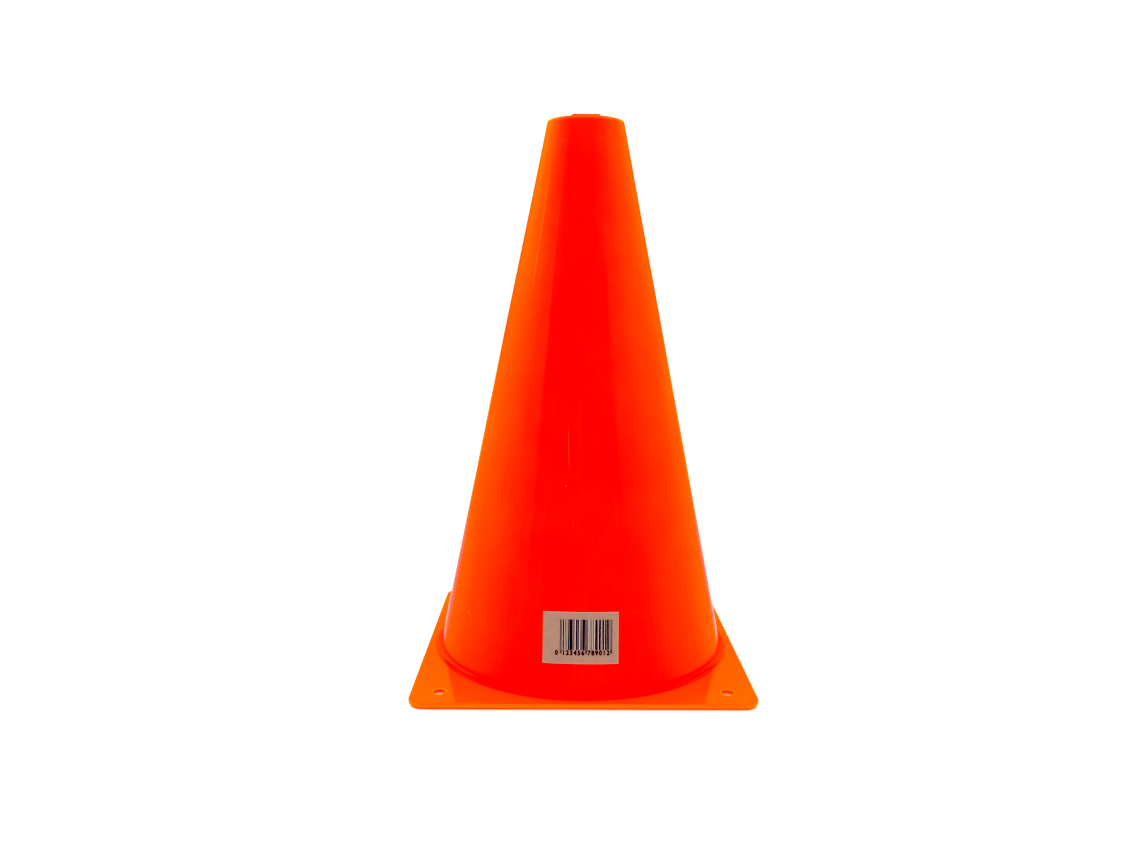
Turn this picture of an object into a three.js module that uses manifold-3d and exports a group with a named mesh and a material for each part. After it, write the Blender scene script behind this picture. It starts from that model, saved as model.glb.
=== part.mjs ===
// A small traffic cone: one hollow plastic moulding on a square foot plate, with a paper label on its front.
// Units are millimetres and +Z is up. The origin is on the ground, on the cone's axis. -Y is the front.
import * as THREE from "three";
import { mergeVertices } from "three/addons/utils/BufferGeometryUtils.js";
import Module from "manifold-3d";

const wasm = await Module();
wasm.setup();

// Foot plate
const FOOT_SIDE = 168;
const FOOT_CORNER_RADIUS = 8.5;
const FOOT_HEIGHT = 3;
const FLANGE_THICKNESS = 1.9;
const FLANGE_EDGE_ROUNDING = 0.4;
const SKIRT_INSET = 1.2;
const SKIRT_WIDTH = 1.6;
const SKIRT_CORNER_RADIUS = 5.5;
const SKIRT_HEIGHT = FOOT_HEIGHT - FLANGE_THICKNESS;

// Corner holes for pegs, ties or screws
const HOLE_RADIUS = 3.1;
const HOLE_OFFSET = 70;
const HOLE_EDGE_ROUNDING = 0.3;

// Cone wall, given where its straight line meets the plate's top and the plane of the closed top
const RIM_HEIGHT = 282.2;
const FOOT_RADIUS = 77.5;
const RIM_RADIUS = 19.8;
const WALL_THICKNESS = 1.5;
const TOP_THICKNESS = 1.8;
const FILLET_RADIUS = 3;
const SHOULDER_RADIUS = 0.8;

// Square boss in the middle of the closed top, with the stub left by the mould's gate
const BOSS_SIDE = 14.8;
const BOSS_CORNER_RADIUS = 1.6;
const BOSS_RISE = 2.8;
const BOSS_EDGE_ROUNDING = 0.5;
const GATE_RADIUS = 0.8;
const GATE_HEIGHT = 1.3;

// Paper label, laid on the wall on a film of adhesive
const LABEL_WIDTH = 36.7;
const LABEL_HEIGHT = 24.6;
const LABEL_MIDDLE_HEIGHT = 31.1;
const LABEL_SHIFT = -1.7;
const ADHESIVE_CLEARANCE = 0.03;
const ADHESIVE_THICKNESS = 0.03;
const PAPER_CLEARANCE = 0.02;
const PAPER_THICKNESS = 0.09;

// Fineness of the facets
const ROUND_SEGMENTS = 72;
const HOLE_SEGMENTS = 24;
const ARC_STEPS = 4;
const CORNER_STEPS = 8;
const BEVEL_STEPS = 2;
const LABEL_COLUMNS = 16;
const LABEL_ROWS = 2;
const CUT_MARGIN = 2;
const MERGE_DISTANCE = 1e-4;

const TAPER = (FOOT_RADIUS - RIM_RADIUS) / (RIM_HEIGHT - FOOT_HEIGHT);
const HALF_ANGLE = Math.atan(TAPER);
const WALL_ACROSS = WALL_THICKNESS / Math.cos(HALF_ANGLE);
const PLATE_MIDDLE = FOOT_HEIGHT - 0.5 * FLANGE_THICKNESS;

const orangePlastic = new THREE.MeshStandardMaterial({ color: 0xff3c00, roughness: 0.35, metalness: 0 });
const labelPaper = new THREE.MeshStandardMaterial({ color: 0xb4917c, roughness: 0.8, metalness: 0 });
const clearAdhesive = new THREE.MeshStandardMaterial({ color: 0xd8cfae, roughness: 0.5, metalness: 0 });

// Radius of the straight outer wall at a height
function wallRadius(height) {
  return FOOT_RADIUS - TAPER * (height - FOOT_HEIGHT);
}

// Points of an arc in the (radius, height) plane, with angles in radians from the +radius direction
function arc(centreRadius, centreHeight, radius, from, to) {
  const points = [];
  for (let step = 0; step <= ARC_STEPS; step += 1) {
    const angle = from + ((to - from) * step) / ARC_STEPS;
    const across = centreRadius + radius * Math.cos(angle);
    points.push(new THREE.Vector2(across, centreHeight + radius * Math.sin(angle)));
  }
  return points;
}

// Closed three.js geometry to a manifold solid, without the triangles that collapse on a lathe's axis
function toSolid(geometry) {
  const bare = geometry.clone();
  bare.deleteAttribute("normal");
  bare.deleteAttribute("uv");
  const merged = mergeVertices(bare, MERGE_DISTANCE);
  const corners = merged.index.array;
  const kept = [];
  for (let first = 0; first < corners.length; first += 3) {
    const [a, b, c] = corners.slice(first, first + 3);
    if (a !== b && b !== c && c !== a) {
      kept.push(a, b, c);
    }
  }
  const mesh = new wasm.Mesh({
    numProp: 3,
    vertProperties: merged.attributes.position.array,
    triVerts: new Uint32Array(kept),
  });
  return new wasm.Manifold(mesh);
}

// Manifold solid back to a three.js geometry
function toGeometry(solid) {
  const mesh = solid.getMesh();
  const geometry = new THREE.BufferGeometry();
  geometry.setAttribute("position", new THREE.BufferAttribute(mesh.vertProperties, 3));
  geometry.setIndex(new THREE.BufferAttribute(mesh.triVerts, 1));
  geometry.computeVertexNormals();
  return geometry;
}

// Solid of revolution about +Z. Its (radius, height) profile starts and ends on the axis, going upwards.
function turned(profile, segments) {
  const geometry = new THREE.LatheGeometry(profile, segments);
  geometry.rotateX(Math.PI / 2);
  return toSolid(geometry);
}

// Outline of a square with rounded corners
function roundedSquare(halfSide, cornerRadius) {
  const middle = halfSide - cornerRadius;
  const shape = new THREE.Shape();
  shape.absarc(middle, middle, cornerRadius, 0, 0.5 * Math.PI);
  shape.absarc(-middle, middle, cornerRadius, 0.5 * Math.PI, Math.PI);
  shape.absarc(-middle, -middle, cornerRadius, Math.PI, 1.5 * Math.PI);
  shape.absarc(middle, -middle, cornerRadius, 1.5 * Math.PI, 2 * Math.PI);
  return shape;
}

// Square slab with rounded corners between two heights. Its long edges are rounded by edgeRounding.
function slab(halfSide, cornerRadius, bottom, top, edgeRounding) {
  const outline = roundedSquare(halfSide - edgeRounding, cornerRadius - edgeRounding);
  const geometry = new THREE.ExtrudeGeometry(outline, {
    depth: top - bottom - 2 * edgeRounding,
    curveSegments: CORNER_STEPS,
    bevelEnabled: edgeRounding > 0,
    bevelSize: edgeRounding,
    bevelThickness: edgeRounding,
    bevelSegments: BEVEL_STEPS,
  });
  geometry.translate(0, 0, bottom + edgeRounding);
  return toSolid(geometry);
}

// Outside of the cone: foot fillet, wall, shoulder and gate stub. It starts halfway down the plate.
function coneOutside() {
  const filletHeight = FOOT_HEIGHT + FILLET_RADIUS;
  const filletCentre = wallRadius(filletHeight) + FILLET_RADIUS / Math.cos(HALF_ANGLE);
  const shoulderHeight = RIM_HEIGHT - SHOULDER_RADIUS;
  const shoulderCentre = wallRadius(shoulderHeight) - SHOULDER_RADIUS / Math.cos(HALF_ANGLE);
  const gateTop = RIM_HEIGHT + BOSS_RISE + GATE_HEIGHT;
  const profile = [
    new THREE.Vector2(0, PLATE_MIDDLE),
    new THREE.Vector2(filletCentre, PLATE_MIDDLE),
    ...arc(filletCentre, filletHeight, FILLET_RADIUS, 1.5 * Math.PI, Math.PI + HALF_ANGLE),
    ...arc(shoulderCentre, shoulderHeight, SHOULDER_RADIUS, HALF_ANGLE, 0.5 * Math.PI),
    new THREE.Vector2(GATE_RADIUS, RIM_HEIGHT),
    new THREE.Vector2(GATE_RADIUS, gateTop),
    new THREE.Vector2(0, gateTop),
  ];
  return turned(profile, ROUND_SEGMENTS);
}

// Boss on the closed top, sunk halfway into it
function boss() {
  const bottom = RIM_HEIGHT - 0.5 * TOP_THICKNESS;
  return slab(0.5 * BOSS_SIDE, BOSS_CORNER_RADIUS, bottom, RIM_HEIGHT + BOSS_RISE, BOSS_EDGE_ROUNDING);
}

// Hollow of the cone: a rounded mouth at the plate's underside, the inner wall and the space under the boss
function coneInside() {
  const mouthRadius = FILLET_RADIUS + WALL_THICKNESS;
  const mouthHeight = SKIRT_HEIGHT + mouthRadius;
  const mouthCentre = wallRadius(mouthHeight) - WALL_ACROSS + mouthRadius / Math.cos(HALF_ANGLE);
  const ceiling = RIM_HEIGHT - TOP_THICKNESS;
  const bossHollow = 0.5 * BOSS_SIDE - TOP_THICKNESS;
  const profile = [
    new THREE.Vector2(0, -CUT_MARGIN),
    new THREE.Vector2(mouthCentre, -CUT_MARGIN),
    ...arc(mouthCentre, mouthHeight, mouthRadius, 1.5 * Math.PI, Math.PI + HALF_ANGLE),
    new THREE.Vector2(wallRadius(ceiling) - WALL_ACROSS, ceiling),
    new THREE.Vector2(bossHollow, ceiling),
    new THREE.Vector2(bossHollow, ceiling + BOSS_RISE),
    new THREE.Vector2(0, ceiling + BOSS_RISE),
  ];
  return turned(profile, ROUND_SEGMENTS);
}

// Cutter for one corner hole, flared at the top to round the hole's edge
function cornerHole(x, y) {
  const flareStart = FOOT_HEIGHT - HOLE_EDGE_ROUNDING;
  const flareEnd = HOLE_RADIUS + HOLE_EDGE_ROUNDING;
  const profile = [
    new THREE.Vector2(0, -CUT_MARGIN),
    new THREE.Vector2(HOLE_RADIUS, -CUT_MARGIN),
    ...arc(flareEnd, flareStart, HOLE_EDGE_ROUNDING, Math.PI, 0.5 * Math.PI),
    new THREE.Vector2(flareEnd, FOOT_HEIGHT + CUT_MARGIN),
    new THREE.Vector2(0, FOOT_HEIGHT + CUT_MARGIN),
  ];
  return turned(profile, HOLE_SEGMENTS).translate([x, y, 0]);
}

// Foot plate: a flange over an inset skirt, with a shallow recess underneath inside the skirt
function footPlate() {
  const skirtSide = 0.5 * FOOT_SIDE - SKIRT_INSET;
  const flange = slab(0.5 * FOOT_SIDE, FOOT_CORNER_RADIUS, SKIRT_HEIGHT, FOOT_HEIGHT, FLANGE_EDGE_ROUNDING);
  const skirt = slab(skirtSide, SKIRT_CORNER_RADIUS, 0, PLATE_MIDDLE, 0);
  const recessCorner = SKIRT_CORNER_RADIUS - SKIRT_WIDTH;
  const recess = slab(skirtSide - SKIRT_WIDTH, recessCorner, -CUT_MARGIN, SKIRT_HEIGHT, 0);
  return flange.add(skirt).subtract(recess);
}

// The whole one-piece moulding
function coneMoulding() {
  let moulding = footPlate().add(coneOutside()).add(boss()).subtract(coneInside());
  for (const x of [-HOLE_OFFSET, HOLE_OFFSET]) {
    for (const y of [-HOLE_OFFSET, HOLE_OFFSET]) {
      moulding = moulding.subtract(cornerHole(x, y));
    }
  }
  return toGeometry(moulding);
}

// Flat rectangle of the label's size, rolled onto the front of the wall at a clearance from it
function wrappedSheet(clearance, thickness) {
  const geometry = new THREE.BoxGeometry(LABEL_WIDTH, LABEL_HEIGHT, thickness, LABEL_COLUMNS, LABEL_ROWS, 1);
  const sine = Math.sin(HALF_ANGLE);
  const cosine = Math.cos(HALF_ANGLE);
  const apexHeight = FOOT_HEIGHT + FOOT_RADIUS / TAPER;
  const middleRadius = wallRadius(LABEL_MIDDLE_HEIGHT);
  const positions = geometry.attributes.position;
  for (let index = 0; index < positions.count; index += 1) {
    const across = positions.getX(index);
    const fromApex = middleRadius / sine - positions.getY(index);
    const outwards = clearance + 0.5 * thickness + positions.getZ(index);
    const slant = Math.hypot(across, fromApex);
    const angle = Math.atan2(across, fromApex) / sine + LABEL_SHIFT / middleRadius;
    const radius = slant * sine + outwards * cosine;
    const height = apexHeight - slant * cosine + outwards * sine;
    positions.setXYZ(index, radius * Math.sin(angle), -radius * Math.cos(angle), height);
  }
  geometry.computeVertexNormals();
  return geometry;
}

// One named mesh
function piece(name, geometry, material) {
  const mesh = new THREE.Mesh(geometry, material);
  mesh.name = name;
  return mesh;
}

const paperClearance = ADHESIVE_CLEARANCE + ADHESIVE_THICKNESS + PAPER_CLEARANCE;

const group = new THREE.Group();
group.add(piece("cone_moulding", coneMoulding(), orangePlastic));
group.add(piece("label_adhesive", wrappedSheet(ADHESIVE_CLEARANCE, ADHESIVE_THICKNESS), clearAdhesive));
group.add(piece("label_paper", wrappedSheet(paperClearance, PAPER_THICKNESS), labelPaper));

export default group;
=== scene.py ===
import math

import bmesh
import bpy
from mathutils import Matrix, Vector, noise


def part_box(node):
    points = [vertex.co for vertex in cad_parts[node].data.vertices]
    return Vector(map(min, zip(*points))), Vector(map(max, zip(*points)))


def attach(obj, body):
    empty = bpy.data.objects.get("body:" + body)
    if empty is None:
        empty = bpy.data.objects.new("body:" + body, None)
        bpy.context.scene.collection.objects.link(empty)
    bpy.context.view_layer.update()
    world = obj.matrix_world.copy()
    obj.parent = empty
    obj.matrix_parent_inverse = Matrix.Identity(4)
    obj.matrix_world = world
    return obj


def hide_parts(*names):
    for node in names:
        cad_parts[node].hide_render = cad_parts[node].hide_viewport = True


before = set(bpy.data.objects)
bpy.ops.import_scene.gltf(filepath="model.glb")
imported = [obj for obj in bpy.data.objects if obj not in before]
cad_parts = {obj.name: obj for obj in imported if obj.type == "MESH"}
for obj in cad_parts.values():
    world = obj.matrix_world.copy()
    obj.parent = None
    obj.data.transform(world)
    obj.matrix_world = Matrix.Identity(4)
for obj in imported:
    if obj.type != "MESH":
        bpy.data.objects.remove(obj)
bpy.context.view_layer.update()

# The moulding's box, in metres
FOOT_LOW, FOOT_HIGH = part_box("cone_moulding")

# Foot plate
FOOT_SIDE = 168.0
MM = (FOOT_HIGH.x - FOOT_LOW.x) / FOOT_SIDE
FOOT_CORNER_RADIUS = 8.5
FOOT_HEIGHT = 3.0
FLANGE_THICKNESS = 1.9
FLANGE_TOP_ROUNDING = 0.6
FLANGE_LOWER_ROUNDING = 0.3
SKIRT_INSET = 1.2
SKIRT_CORNER_RADIUS = 5.5
SKIRT_WIDTH = 1.6
SKIRT_ROUNDING = 0.25
PLATE_UNDERSIDE = FOOT_HEIGHT - FLANGE_THICKNESS

# Corner holes
HOLE_RADIUS = 3.1
HOLE_OFFSET = 70.0
HOLE_ROUNDING = 0.3

# Cone wall, closed top, boss and gate stub
GATE_HEIGHT = 1.3
BOSS_RISE = 2.8
RIM_HEIGHT = FOOT_HIGH.z / MM - BOSS_RISE - GATE_HEIGHT
FOOT_RADIUS = 77.5
RIM_RADIUS = 19.8
WALL_THICKNESS = 1.5
TOP_THICKNESS = 1.8
FILLET_RADIUS = 3.0
SHOULDER_RADIUS = 0.8
BOSS_HALF = 7.4
BOSS_CORNER_RADIUS = 1.6
BOSS_ROUNDING = 0.5
GATE_RADIUS = 0.8

# Label and its print
LABEL_WIDTH = 36.7
LABEL_HEIGHT = 24.6
LABEL_MIDDLE_HEIGHT = 31.1
LABEL_SHIFT = -1.7
PAPER_CLEARANCE = 0.08
PAPER_THICKNESS = 0.09
PAPER_TOP = PAPER_CLEARANCE + PAPER_THICKNESS
PAPER_EDGE_WAVE = 0.05
PAPER_RIPPLE = 0.02
PAPER_CURL = 10.0
CURL_FROM_SIDE = 0.86
CURL_FROM_END = 0.7
INK_THICKNESS = 0.012
INK_SINK = 0.02
MODULE = 0.264
INK_SPREAD = 0.045
BARS_LEFT = -9.9
BARS_TOP = 8.8
BARS_BOTTOM = -5.7
GUARD_BOTTOM = -7.5
DIGIT_BASELINE = -8.1
DIGIT_HEIGHT = 2.15
DIGIT_BOLDNESS = 0.14
DIGIT_NARROWING = 0.92
FONT_DIGIT_SHARE = 0.7
LEADING_DIGIT_LEFT = -12.3
CODE = "0123456789012"

# Modules of the code: its guards and digits, and where its middle guard and right half start
GUARD_MODULES = 3
DIGIT_MODULES = 7
MIDDLE_GUARD_START = GUARD_MODULES + 6 * DIGIT_MODULES
RIGHT_HALF_START = MIDDLE_GUARD_START + 5
CODE_MODULES = RIGHT_HALF_START + 6 * DIGIT_MODULES + GUARD_MODULES

# Unevenness of the moulding, and the ranges over which it comes in: up the wall, away from the label's
# middle, and out over the plate
WALL_WANDER = 0.16
WALL_RIPPLE = 0.05
PLATE_WAVE = 0.12
UNEVEN_UP = (4.0, 24.0)
UNEVEN_BESIDE_LABEL = (23.0, 43.0)
UNEVEN_OUT = (60.0, 90.0)

# Marks on the wall: degrees round from the front, height, half width, half length, and tilt in degrees
LONG_SCRATCH = (-8.63, 120.0, 0.24, 14.0, 1.7)
CHIP = (-9.2, 102.2, 0.5, 0.7)
SCUFF = (-54.5, 32.6, 0.5, 2.4, 52.0)
UPPER_SPECK = (27.9, 165.6, 0.4, 0.4)
LOWER_SPECK = (32.5, 52.2, 0.45, 0.35)

# Colours of the plastic
WALL_ORANGE = (1.0, 0.042, 0.0, 1)
WALL_ORANGE_LIGHT = (1.0, 0.048, 0.0, 1)
DRAG_ORANGE = (1.0, 0.062, 0.0, 1)
# Painted light: the plate's lighter orange stands in for the light falling on it
PAINTED_LIT_PLATE_ORANGE = (1.0, 0.09, 0.0, 1)
# Painted light: lighter still towards the plate's outer corners
PAINTED_LIT_CORNER_ORANGE = (1.0, 0.102, 0.0, 1)
# Painted shade: darker orange in the fillet round the cone's foot, darkest in its inner part
PAINTED_FILLET_SHADE_ORANGE = (1.0, 0.01, 0.0, 1)
PAINTED_OUTER_FILLET_SHADE_ORANGE = (1.0, 0.036, 0.0, 1)
# Painted glow: lighter orange on the plate's edge, the shoulder and the boss's edge
PAINTED_EDGE_GLOW_ORANGE = (1.0, 0.15, 0.0, 1)
# Painted highlight: lighter orange on the rims of the corner holes
PAINTED_HOLE_RIM_HIGHLIGHT_ORANGE = (1.0, 0.26, 0.0, 1)
RUBBED_ORANGE = (1.0, 0.2, 0.04, 1)
SPECK_BROWN = (0.35, 0.02, 0.0, 1)

# Colours of the label
PAPER_BEIGE = (0.352, 0.216, 0.146, 1)
PAPER_BEIGE_LIGHT = (0.378, 0.232, 0.158, 1)
PAPER_FIBRE = (0.45, 0.29, 0.2, 1)
PAPER_THREAD = (0.26, 0.18, 0.14, 1)
PAPER_BEHIND_PRINT = (0.5, 0.38, 0.3, 1)
PAPER_CUT_EDGE = (0.42, 0.33, 0.25, 1)
INK_BLACK = (0.01, 0.01, 0.012, 1)
INK_THIN = (0.1, 0.08, 0.07, 1)
GLUE_DARK = (0.6, 0.5, 0.3, 1)
GLUE_PALE = (0.75, 0.68, 0.48, 1)

# Colours of the stage
FLOOR_WHITE = (0.86, 0.86, 0.86, 1)
FLOOR_WHITE_LIGHT = (0.9, 0.9, 0.9, 1)
FLOOR_GLOW = (1.0, 0.72, 0.4, 1)
SEEN_WHITE = (1.0, 1.0, 1.0, 1)
MIRRORED_YELLOW = (1.0, 0.9, 0.06, 1)

# Floor and overhead light, in metres and watts
FLOOR_CORNERS = [(-0.85, -0.9), (0.85, -0.9), (0.85, 0.55), (-0.85, 0.55)]
OVERHEAD_SIZE = 4.0
OVERHEAD_HEIGHT = 2.5
OVERHEAD_POWER = 85.0

# Camera: its place, its lens and sensor width, and its turns in degrees
CAMERA_PLACE = (-12.2, -487.3, 195.2)
CAMERA_LENS = 28.667
CAMERA_SENSOR = 36.0
CAMERA_PITCH_DOWN = 8.49
CAMERA_TURN = -0.63
CAMERA_ROLL = 0.47

# Follows from the sizes above
TAPER = (FOOT_RADIUS - RIM_RADIUS) / (RIM_HEIGHT - FOOT_HEIGHT)
HALF_ANGLE = math.atan(TAPER)
WALL_ACROSS = WALL_THICKNESS / math.cos(HALF_ANGLE)
PLATE_INNER = FOOT_RADIUS + FILLET_RADIUS * (1 - TAPER)
QUARTER = 0.5 * math.pi

# Mesh fineness
SIDE_STEPS = 46
CORNER_STEPS = 14
WALL_RINGS = 60
ROUND_STEPS = 6
HOLE_STEPS = 40
PAPER_COLUMNS = 96
PAPER_ROWS = 64
BAR_STEPS = 12


# ---- Mesh helpers ----------------------------------------------------------------------------------------


def wall_radius(height):
    """Radius of the straight outer wall at a height."""
    return FOOT_RADIUS - TAPER * (height - FOOT_HEIGHT)


def arc(centre_radius, centre_height, radius, start, end, steps=ROUND_STEPS):
    """Points (radius, height) of an arc, with angles from the outward direction."""
    angles = [start + (end - start) * step / steps for step in range(steps + 1)]
    return [(centre_radius + radius * math.cos(a), centre_height + radius * math.sin(a)) for a in angles]


def square_outline(half_side, corner_radius):
    """Counterclockwise (x, y) points of a square with rounded corners, evenly spread in azimuth."""
    middle = half_side - corner_radius
    reach = math.atan2(FOOT_SIDE / 2 - FOOT_CORNER_RADIUS, FOOT_SIDE / 2)
    points = []
    for quarter in range(4):
        turn = Matrix.Rotation(QUARTER * quarter, 2)
        for step in range(SIDE_STEPS):
            azimuth = reach * (2 * step / SIDE_STEPS - 1)
            points.append(turn @ Vector((half_side, middle * math.tan(azimuth) / math.tan(reach))))
        for step in range(CORNER_STEPS):
            angle = QUARTER * step / CORNER_STEPS
            x = middle + corner_radius * math.cos(angle)
            y = middle + corner_radius * math.sin(angle)
            points.append(turn @ Vector((x, y)))
    return points


AZIMUTHS = [math.atan2(p.y, p.x) for p in square_outline(FOOT_SIDE / 2, FOOT_CORNER_RADIUS)]


def circle_outline(radius):
    """(x, y) points of a circle at the azimuths of the foot plate's outline."""
    return [Vector((radius * math.cos(a), radius * math.sin(a))) for a in AZIMUTHS]


def circle_rings(profile):
    """Rings (outline, height) of a turned profile."""
    return [(circle_outline(radius), height) for radius, height in profile]


def square_rings(profile, edge_inset, corner_radius):
    """Rings of a profile of (inset from the plate's edge, height), with a corner radius at edge_inset."""
    half = FOOT_SIDE / 2
    rings = []
    for inset, height in profile:
        rings.append((square_outline(half - inset, corner_radius + edge_inset - inset), height))
    return rings


def blend_rings(first, last, steps):
    """Rings between two given ones, without either of them."""
    made = []
    for step in range(1, steps):
        share = step / steps
        outline = [a.lerp(b, share) for a, b in zip(first[0], last[0])]
        made.append((outline, first[1] + (last[1] - first[1]) * share))
    return made


def share_between(value, low, high):
    """0 below low and 1 above high."""
    return min(1.0, max(0.0, (value - low) / (high - low)))


def uneven(point):
    """A point moved by the moulding's unevenness: the wall wanders and the plate is not quite flat. The wall
    keeps its exact shape behind the label, so the glue and the paper lie on it one over the other."""
    height_share = share_between(point.z, *UNEVEN_UP)
    radial = Vector((point.x, point.y, 0.0))
    if radial.length < 1e-6:
        return point
    direction = radial.normalized()
    wander = noise.noise(Vector((direction.x * 1.6, direction.y * 1.6, point.z / 70.0)))
    ripple = noise.noise(Vector((direction.x * 7.0, direction.y * 7.0, point.z / 160.0 + 9.0)))
    across = math.atan2(point.x, -point.y) * radial.length - LABEL_SHIFT
    from_label = math.hypot(across, point.z - LABEL_MIDDLE_HEIGHT)
    beside_label = share_between(from_label, *UNEVEN_BESIDE_LABEL)
    shift = direction * height_share * beside_label * (WALL_WANDER * wander + WALL_RIPPLE * ripple)
    outer_share = share_between(radial.length, *UNEVEN_OUT) * (1.0 - height_share)
    lift = PLATE_WAVE * noise.noise(Vector((point.x / 45.0, point.y / 45.0, 3.0))) * outer_share
    return point + shift + Vector((0.0, 0.0, lift if point.z > 0.5 else 0.0))


def mesh_object(name, vertices, faces):
    """A new object from points in metres and faces."""
    mesh = bpy.data.meshes.new(name)
    mesh.from_pydata([tuple(v) for v in vertices], [], faces)
    mesh.validate()
    made = bpy.data.objects.new(name, mesh)
    bpy.context.scene.collection.objects.link(made)
    return made


def shade_smooth(piece, sharp_degrees=38.0):
    """Smooth shading with edges kept sharp above an angle."""
    piece.data.shade_smooth()
    piece.data.set_sharp_from_angle(angle=math.radians(sharp_degrees))


def skin(name, first_pole, rings, last_pole, shaping=None):
    """One closed skin through rings of points, with a fan to a pole at each end."""
    vertices = [first_pole]
    for outline, height in rings:
        vertices += [Vector((p.x, p.y, height)) for p in outline]
    vertices.append(last_pole)
    if shaping:
        vertices = [shaping(v) for v in vertices]
    count = len(rings[0][0])
    faces = []
    for k in range(count):
        after = (k + 1) % count
        faces.append((0, 1 + k, 1 + after))
        for ring in range(len(rings) - 1):
            base = 1 + ring * count
            following = base + count
            faces.append((base + k, following + k, following + after, base + after))
        base = 1 + (len(rings) - 1) * count
        faces.append((base + k, len(vertices) - 1, base + after))
    return mesh_object(name, [v * MM for v in vertices], faces)


# ---- Cone moulding ---------------------------------------------------------------------------------------


def gate_profile():
    """(radius, height) of the gate stub, down to the boss's top."""
    boss_top = RIM_HEIGHT + BOSS_RISE
    gate_top = boss_top + GATE_HEIGHT
    profile = [(0.35 * GATE_RADIUS, gate_top), (0.75 * GATE_RADIUS, gate_top - 0.12)]
    profile += [(GATE_RADIUS, gate_top - 0.45), (GATE_RADIUS, boss_top + 0.4)]
    profile += arc(GATE_RADIUS + 0.4, boss_top + 0.4, 0.4, math.pi, 1.5 * math.pi, 3)
    return profile + [(3.2, boss_top)]


def boss_rings():
    """Rings of the square boss, from its top down to the cone's closed top."""
    boss_top = RIM_HEIGHT + BOSS_RISE
    steps = [(-1.5, boss_top)]
    steps += arc(-BOSS_ROUNDING, boss_top - BOSS_ROUNDING, BOSS_ROUNDING, QUARTER, 0.0)
    steps += arc(0.5, RIM_HEIGHT + 0.5, 0.5, math.pi, 1.5 * math.pi, 4)
    rings = []
    for out, height in steps:
        rings.append((square_outline(BOSS_HALF + out, max(0.3, BOSS_CORNER_RADIUS + out)), height))
    return rings


def wall_profile():
    """(radius, height) from the closed top round the shoulder, down the wall and round the foot's fillet."""
    shoulder_height = RIM_HEIGHT - SHOULDER_RADIUS
    shoulder_centre = wall_radius(shoulder_height) - SHOULDER_RADIUS / math.cos(HALF_ANGLE)
    fillet_height = FOOT_HEIGHT + FILLET_RADIUS
    fillet_centre = wall_radius(fillet_height) + FILLET_RADIUS / math.cos(HALF_ANGLE)
    profile = [(12.5, RIM_HEIGHT), (16.0, RIM_HEIGHT)]
    profile += arc(shoulder_centre, shoulder_height, SHOULDER_RADIUS, QUARTER, HALF_ANGLE, 8)
    start_height = profile[-1][1]
    end_height = fillet_height - FILLET_RADIUS * math.sin(HALF_ANGLE)
    for ring in range(1, WALL_RINGS):
        height = start_height + (end_height - start_height) * ring / WALL_RINGS
        profile.append((wall_radius(height), height))
    profile += arc(fillet_centre, fillet_height, FILLET_RADIUS, math.pi + HALF_ANGLE, 1.5 * math.pi, 10)
    return profile


def flange_rings():
    """Rings from the plate's top edge round the flange."""
    top, lower = FLANGE_TOP_ROUNDING, FLANGE_LOWER_ROUNDING
    profile = [(3.2, FOOT_HEIGHT), (1.6, FOOT_HEIGHT)]
    for x, z in arc(-top, FOOT_HEIGHT - top, top, QUARTER, 0.0, 6):
        profile.append((-x, z))
    for x, z in arc(-lower, PLATE_UNDERSIDE + lower, lower, 0.0, -QUARTER, 4):
        profile.append((-x, z))
    return square_rings(profile, 0.0, FOOT_CORNER_RADIUS)


def skirt_rings():
    """Rings down the skirt, under it and up to the plate's underside."""
    foot = SKIRT_ROUNDING
    inner = SKIRT_INSET + SKIRT_WIDTH
    profile = [(SKIRT_INSET, PLATE_UNDERSIDE - 0.1), (SKIRT_INSET + 0.02, PLATE_UNDERSIDE - 0.3)]
    for x, z in arc(-SKIRT_INSET - foot, foot, foot, 0.0, -QUARTER, 4):
        profile.append((-x, z))
    profile += [(inner - 0.1, 0.0), (inner, 0.1)]
    profile += [(inner, PLATE_UNDERSIDE - 0.2), (inner + 0.2, PLATE_UNDERSIDE)]
    return square_rings(profile, SKIRT_INSET, SKIRT_CORNER_RADIUS)


def inner_profile():
    """(radius, height) from the hollow's rounded mouth up to the space under the boss."""
    mouth_radius = FILLET_RADIUS + WALL_THICKNESS
    mouth_height = PLATE_UNDERSIDE + mouth_radius
    mouth_centre = wall_radius(mouth_height) - WALL_ACROSS + mouth_radius / math.cos(HALF_ANGLE)
    ceiling = RIM_HEIGHT - TOP_THICKNESS
    ceiling_radius = wall_radius(ceiling) - WALL_ACROSS
    boss_hollow = BOSS_HALF - TOP_THICKNESS
    profile = arc(mouth_centre, mouth_height, mouth_radius, 1.5 * math.pi, math.pi + HALF_ANGLE, 8)
    start_height = profile[-1][1]
    for ring in range(1, WALL_RINGS):
        height = start_height + (ceiling - 1.0 - start_height) * ring / WALL_RINGS
        profile.append((wall_radius(height) - WALL_ACROSS, height))
    profile += [(ceiling_radius - 0.3, ceiling - 0.3), (ceiling_radius - 1.0, ceiling)]
    profile += [(boss_hollow + 0.3, ceiling), (boss_hollow, ceiling + 0.3)]
    profile += [(boss_hollow, ceiling + BOSS_RISE - 0.3), (boss_hollow - 0.3, ceiling + BOSS_RISE)]
    profile += [(2.0, ceiling + BOSS_RISE)]
    return profile


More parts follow.
